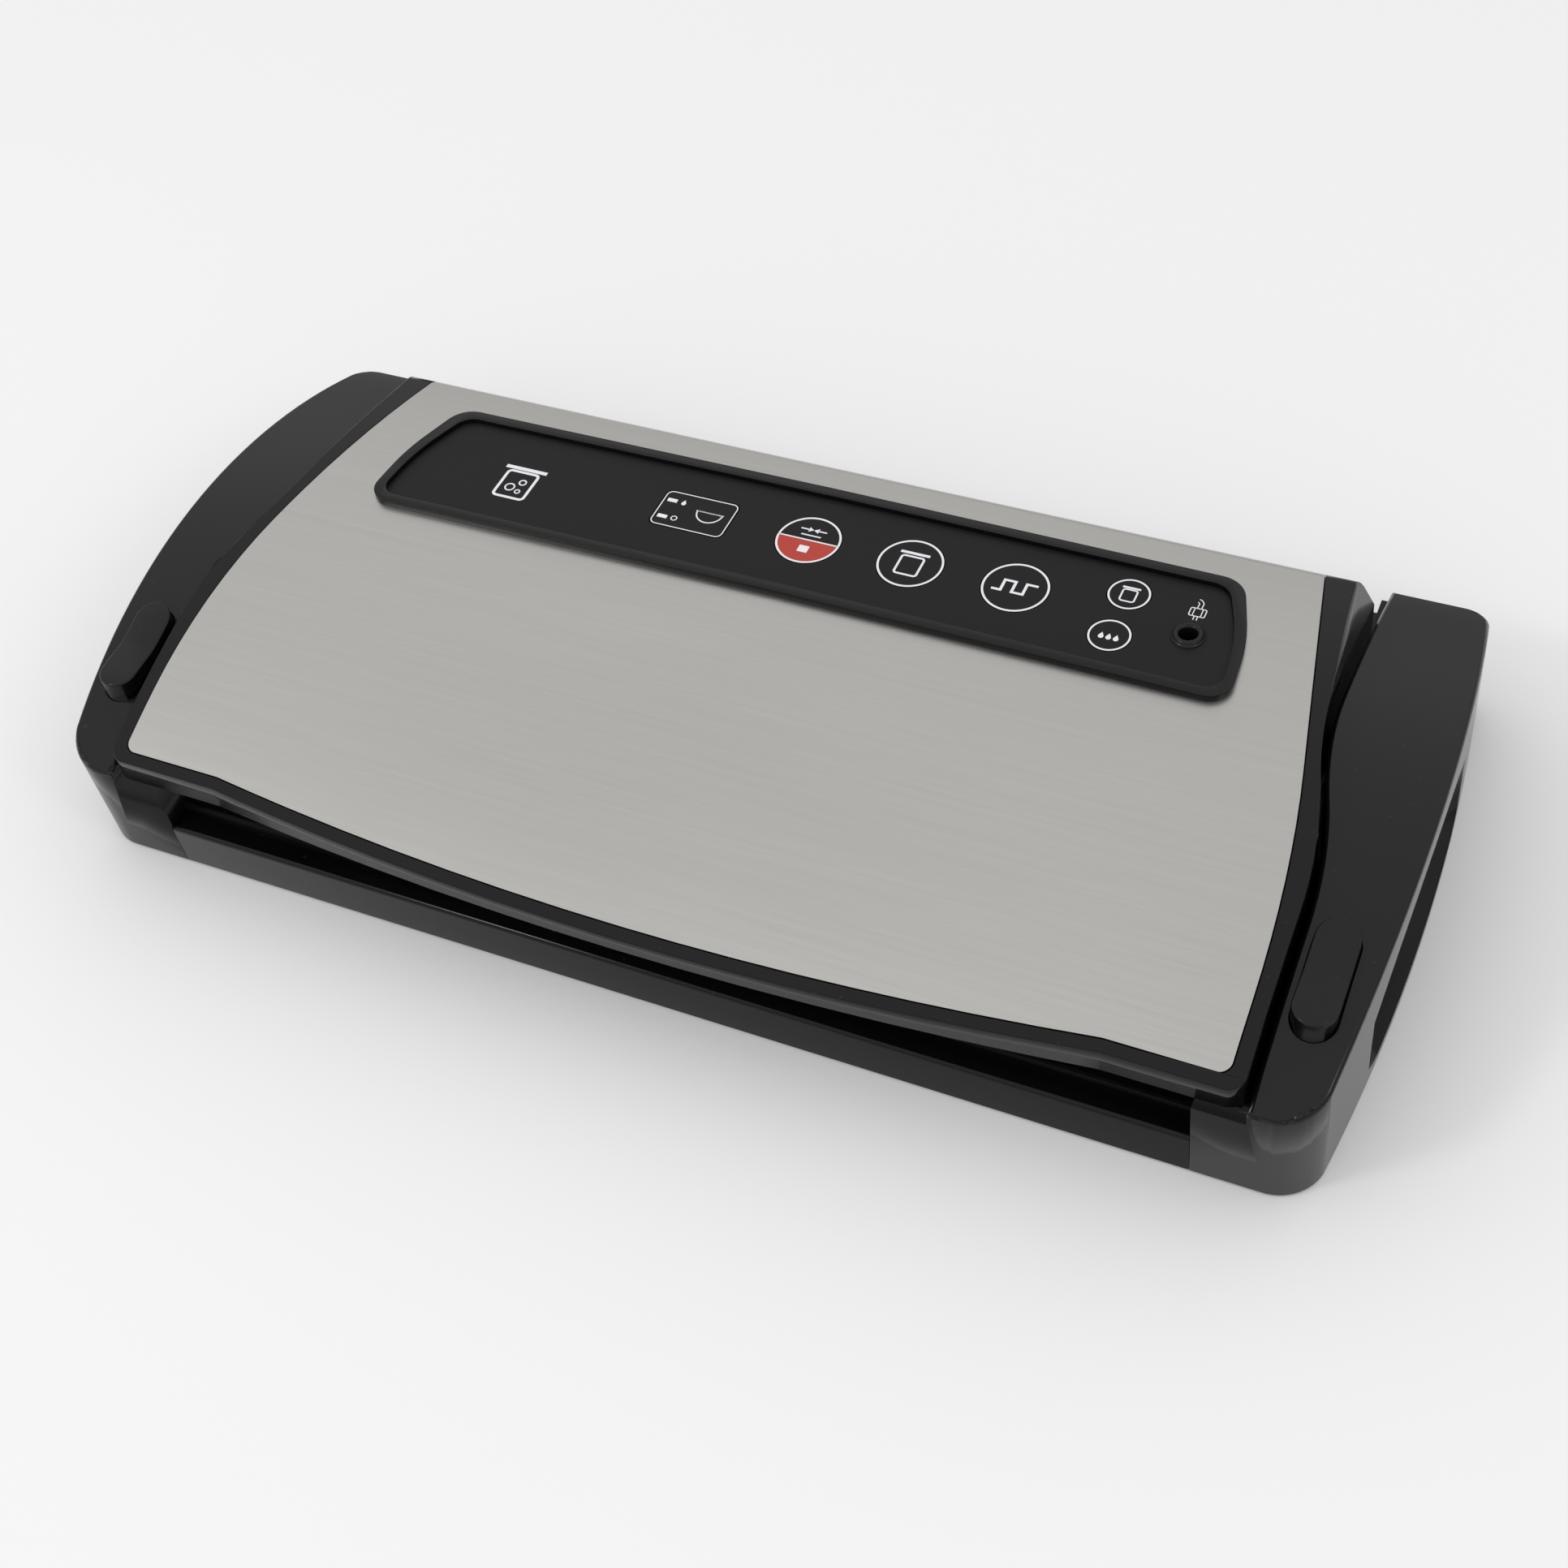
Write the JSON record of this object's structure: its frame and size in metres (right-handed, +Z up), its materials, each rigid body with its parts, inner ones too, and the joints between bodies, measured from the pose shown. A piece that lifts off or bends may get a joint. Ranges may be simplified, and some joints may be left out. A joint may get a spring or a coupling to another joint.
{
  "type": "vacuum sealer",
  "caption": "Low kitchen vacuum bag sealer: a hinged brushed-steel lid between black end pods with release buttons and side grips, over a sealing well with gaskets and heating strip",
  "frame": {"origin": "middle of the footprint, at the underside of the feet", "axes": "+X along the length to the user's right, +Y to the rear where the hinge is, +Z up"},
  "size_m": [0.401, 0.1916, 0.0668],
  "materials": {
    "black_shell": "moulded, half gloss",
    "black_matt": "moulded, fine spark texture",
    "pale_nylon": "plain moulded",
    "gasket_foam": "closed-cell foam",
    "heater_board": "pressed board",
    "heating_wire": "flat resistance strip",
    "coated_tape": "coated glass cloth",
    "foot_rubber": "moulded",
    "bright_steel": "bright zinc plated",
    "plated_steel": "plain plated",
    "rotor_copper": "laminations and windings",
    "pump_plastic": "glass-filled, dull",
    "clear_hose": "milky silicone",
    "circuit_board": "lacquered",
    "winding_tape": "yellow tape over ferrite",
    "brushed_cover": "brushed side to side",
    "red_silicone": "moulded",
    "panel_film": "printed film, satin",
    "lamp_white": "diffusing"
  },
  "bodies": {
    "base": {"bottom_plate": "black_matt", "deck": "black_matt", "front_bar": "black_matt", "left_pod": "black_shell", "right_pod": "black_shell", "trough": "pale_nylon", "lower_gasket": "gasket_foam", "heater_base": "heater_board", "heating_strip": "heating_wire", "nonstick_tape": "coated_tape", "feet": "foot_rubber", "plate_screws": "bright_steel", "hinge_pins": "bright_steel", "pump_head": "pump_plastic", "pump_motor": "plated_steel", "pump_bracket": "plated_steel", "suction_tube": "clear_hose", "power_board": "circuit_board", "transformer": "winding_tape", "power_inlet": "black_matt", "lid_switch": "black_matt", "left_latch_guide": "pump_plastic", "right_latch_guide": "pump_plastic"},
    "rotor": {"motor_rotor": "rotor_copper"},
    "lid": {"lid_frame": "black_shell", "steel_cover": "brushed_cover", "lid_inner": "black_matt", "upper_gasket": "gasket_foam", "press_bar_holder": "plated_steel", "press_bar": "red_silicone", "left_hook": "pale_nylon", "right_hook": "pale_nylon", "rest_pegs": "foot_rubber", "panel_rim": "black_shell", "panel_face": "panel_film", "control_board": "circuit_board", "food_lamps": "lamp_white", "hose_port": "black_shell", "port_tube": "clear_hose", "lid_screws": "bright_steel"},
    "left_button_body": {"left_button": "black_matt", "left_button_spring": "bright_steel"},
    "right_button_body": {"right_button": "black_matt", "right_button_spring": "bright_steel"},
    "left_catch_body": {"left_catch": "pale_nylon"},
    "right_catch_body": {"right_catch": "pale_nylon"},
    "key_vacuum_body": {"key_vacuum": "panel_film"},
    "key_seal_body": {"key_seal": "panel_film"},
    "key_pulse_body": {"key_pulse": "panel_film"},
    "key_canister_body": {"key_canister": "panel_film"},
    "key_marinate_body": {"key_marinate": "panel_film"},
    "key_food_body": {"key_food": "panel_film"}
  },
  "joints": [
    {"name": "lid_hinge", "type": "hinge", "parent": "base", "child": "lid", "pos_m": [0, 0.081, 0.0332], "axis": [-1, 0, 0], "range_deg": [0, 65]},
    {"name": "left_button_press", "type": "slide", "parent": "base", "child": "left_button_body", "axis": [0, 0, -1], "range_m": [0, 0.0025], "stiffness_N_per_m": 800, "springref_m": -0.002, "deforming": ["left_button_spring"]},
    {"name": "right_button_press", "type": "slide", "parent": "base", "child": "right_button_body", "axis": [0, 0, -1], "range_m": [0, 0.0025], "stiffness_N_per_m": 800, "springref_m": -0.002, "deforming": ["right_button_spring"]},
    {"name": "left_catch_slide", "type": "slide", "parent": "base", "child": "left_catch_body", "axis": [-1, 0, 0], "range_m": [0, 0.003]},
    {"name": "right_catch_slide", "type": "slide", "parent": "base", "child": "right_catch_body", "axis": [1, 0, 0], "range_m": [0, 0.003]},
    {"name": "pump_spin", "type": "hinge", "parent": "base", "child": "rotor", "pos_m": [0.034, 0.033, 0.0162], "axis": [1, 0, 0], "continuous": true},
    {"name": "key_vacuum_press", "type": "slide", "parent": "lid", "child": "key_vacuum_body", "axis": [0, -0.0598, -0.9982], "range_m": [0, 0.0005], "stiffness_N_per_m": 2000, "springref_m": -0.0003},
    {"name": "key_seal_press", "type": "slide", "parent": "lid", "child": "key_seal_body", "axis": [0, -0.0598, -0.9982], "range_m": [0, 0.0005], "stiffness_N_per_m": 2000, "springref_m": -0.0003},
    {"name": "key_pulse_press", "type": "slide", "parent": "lid", "child": "key_pulse_body", "axis": [0, -0.0598, -0.9982], "range_m": [0, 0.0005], "stiffness_N_per_m": 2000, "springref_m": -0.0003},
    {"name": "key_canister_press", "type": "slide", "parent": "lid", "child": "key_canister_body", "axis": [0, -0.0598, -0.9982], "range_m": [0, 0.0005], "stiffness_N_per_m": 2000, "springref_m": -0.0003},
    {"name": "key_marinate_press", "type": "slide", "parent": "lid", "child": "key_marinate_body", "axis": [0, -0.0598, -0.9982], "range_m": [0, 0.0005], "stiffness_N_per_m": 2000, "springref_m": -0.0003},
    {"name": "key_food_press", "type": "slide", "parent": "lid", "child": "key_food_body", "axis": [0, -0.0598, -0.9982], "range_m": [0, 0.0005], "stiffness_N_per_m": 2000, "springref_m": -0.0003}
  ],
  "couplings": [
    {"joint": "left_catch_slide", "follows": "left_button_press", "ratio": 1.2},
    {"joint": "right_catch_slide", "follows": "right_button_press", "ratio": 1.2}
  ]
}
